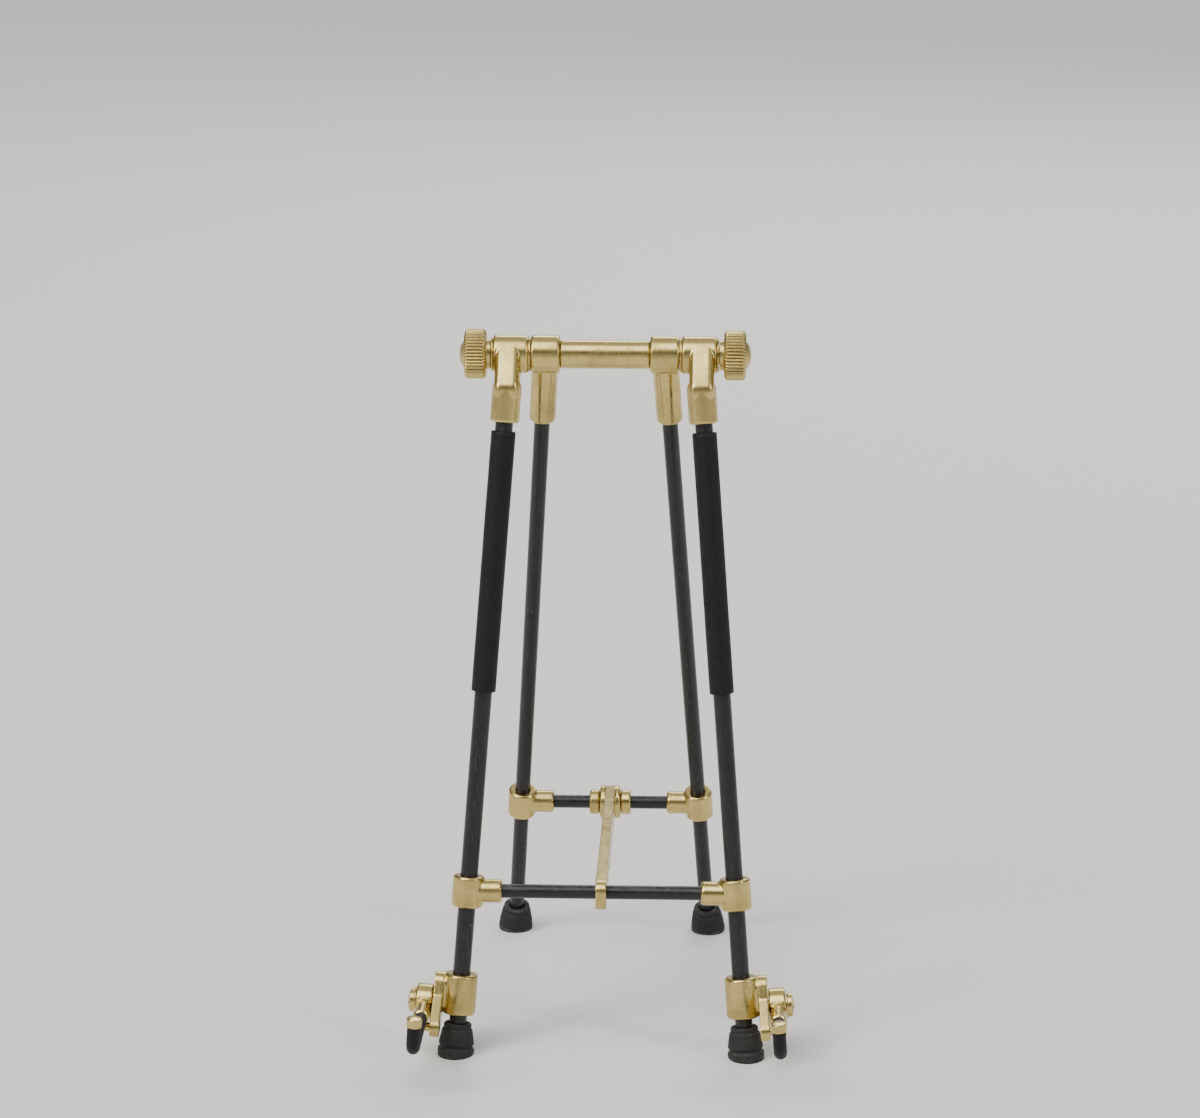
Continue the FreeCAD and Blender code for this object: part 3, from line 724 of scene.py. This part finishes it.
# ---------------------------------------------------------------- stage
def stage():
    half = 3.0
    corners = [(-half, -half, 0), (half, -half, 0), (half, half, 0), (-half, half, 0)]
    mesh = bpy.data.meshes.new("floor")
    mesh.from_pydata(corners, [], [(0, 1, 2, 3)])
    mesh.materials.append(pale_floor())
    floor = bpy.data.objects.new("floor", mesh)
    bpy.context.scene.collection.objects.link(floor)


def softbox(name, place, size, power, colour):
    """A rectangular lamp that faces the stand."""
    stand_middle = Vector((0, 0, 0.08))
    data = bpy.data.lights.new(name, "AREA")
    data.shape = "RECTANGLE"
    data.size, data.size_y = size
    data.energy = power
    data.color = colour
    lamp = bpy.data.objects.new(name, data)
    lamp.location = place
    lamp.rotation_euler = (stand_middle - Vector(place)).to_track_quat("-Z", "Y").to_euler()
    bpy.context.scene.collection.objects.link(lamp)


def soft_sun():
    """Wide overhead light, which keeps the floor even and its shadows faint."""
    shines = Vector((0.35, 0.45, -1.0))
    data = bpy.data.lights.new("soft_sun", "SUN")
    data.energy = 1.85
    data.angle = math.radians(50)
    lamp = bpy.data.objects.new("soft_sun", data)
    lamp.rotation_euler = shines.to_track_quat("-Z", "Y").to_euler()
    bpy.context.scene.collection.objects.link(lamp)


def lights():
    warm = (1.0, 0.985, 0.96)
    cool = (0.97, 0.985, 1.0)
    white = (1.0, 1.0, 1.0)
    softbox("key", place=(-0.95, -0.75, 1.05), size=(0.45, 0.75), power=12, colour=warm)
    softbox("strip", place=(1.0, -0.5, 0.8), size=(0.18, 0.7), power=5, colour=cool)
    softbox("back", place=(0.35, 1.25, 0.95), size=(1.1, 0.5), power=9, colour=white)
    soft_sun()
    bpy.context.scene.world = studio_world()


def studio_world():
    """A pale backdrop at the horizon, dimmer above it for the metal to mirror, and bright overhead."""
    world = bpy.data.worlds.new("studio")
    world.use_nodes = True
    nodes = world.node_tree.nodes
    links = world.node_tree.links
    split = nodes.new("ShaderNodeSeparateXYZ")
    links.new(nodes.new("ShaderNodeTexCoord").outputs["Generated"], split.inputs[0])
    ramp = nodes.new("ShaderNodeValToRGB")
    links.new(split.outputs["Z"], ramp.inputs[0])
    ramp.color_ramp.interpolation = "EASE"
    brightness_by_height = {0.0: 0.66, 0.16: 0.56, 0.34: 0.14, 0.55: 0.22, 0.90: 0.66}
    stops = ramp.color_ramp.elements
    stops.remove(stops[1])
    for height, value in brightness_by_height.items():
        stop = stops[0] if height == 0.0 else stops.new(height)
        stop.color = (value, value, value, 1)
    links.new(ramp.outputs["Color"], nodes["Background"].inputs["Color"])
    return world


def camera():
    data = bpy.data.cameras.new("camera")
    data.sensor_width = SENSOR
    data.lens = SENSOR * VIEW_DISTANCE / PICTURE_WIDTH
    data.clip_start = 0.01
    eye = bpy.data.objects.new("camera", data)
    level = math.cos(VIEW_HEIGHT)
    back = Vector((math.sin(VIEW_AZIMUTH) * level, -math.cos(VIEW_AZIMUTH) * level, math.sin(VIEW_HEIGHT)))
    eye.location = AIM + back * VIEW_DISTANCE
    eye.rotation_euler = (-back).to_track_quat("-Z", "Y").to_euler()
    bpy.context.scene.collection.objects.link(eye)
    bpy.context.scene.camera = eye


# ---------------------------------------------------------------- build
# Each fitting's body, the size of its remesh in millimetres, and its smoothing passes
CASTINGS = {
    "bracket": ("front_frame", 0.11, 16),
    "front_tee": ("front_frame", 0.11, 14),
    "head": ("front_frame", 0.12, 16),
    "pivot_screw": ("front_frame", 0.05, 5),
    "stop_pin": ("front_frame", 0.07, 3),
    "strut_knuckle": ("rear_strut", 0.12, 16),
    "rear_tee": ("rear_strut", 0.11, 14),
    "arm_knuckle": ("{side}_arm", 0.09, 10),
}


def paint(node, material):
    mesh = frame["nodes"][node].data
    mesh.materials.clear()
    mesh.materials.append(material)


def paint_frame(by_slot):
    """Gives every CAD mesh its slot's material, and the crossbars one whose lines run along them."""
    for subpart in frame["record"]["subparts"]:
        paint(subpart["node"], by_slot[subpart["material_slot"]])
    bar_lacquer = lacquer("black_lacquer_bars", DRAWN_ALONG_X)
    for bar in ("front_crossbar", "rear_crossbar"):
        paint(bar, bar_lacquer)


def build():
    camera()
    lights()
    stage()

    brass_cast = brass("brass_cast", True)
    brass_turned = brass("brass_turned", True, TURNED_ABOUT_X)
    brass_ferrule = brass("brass_ferrule", False, TURNED_ABOUT_Z)
    black_vinyl = vinyl()
    black_rubber = rubber()
    by_slot = {
        "brass": brass_turned,
        "black_lacquer": lacquer("black_lacquer_satin", DRAWN_ALONG_Z),
        "black_vinyl": black_vinyl,
        "rubber": black_rubber,
        "steel": blackened_steel(),
    }
    paint_frame(by_slot)

    paired("arm_sleeve", arm_sleeve, "{side}_arm", black_vinyl, varied=True)
    paired("tip_cap", tip_cap, "{side}_arm", brass_ferrule)
    paired("thumb_nut", thumb_nut, "{side}_nut", brass_turned)
    paired("front_foot", front_foot, "front_frame", black_rubber)
    paired("rear_foot", rear_foot, "rear_strut", black_rubber)
    paired("rest_sleeve", rest_sleeve, "front_frame", black_vinyl, varied=True)

    for name, (body, voxel, smoothing) in CASTINGS.items():
        for side in SIDES:
            cast(f"{side}_{name}", body.format(side=side), voxel * MM, brass_cast, smoothing)
    cast("notched_stay", "stay", 0.14 * MM, brass_cast, 5)
    cast("stay_collars", "rear_strut", 0.10 * MM, brass_turned, 4)
    new_piece("spacer_tube_skin", spacer_tube(), "rear_strut", brass_turned, ["spacer_tube"])


build()
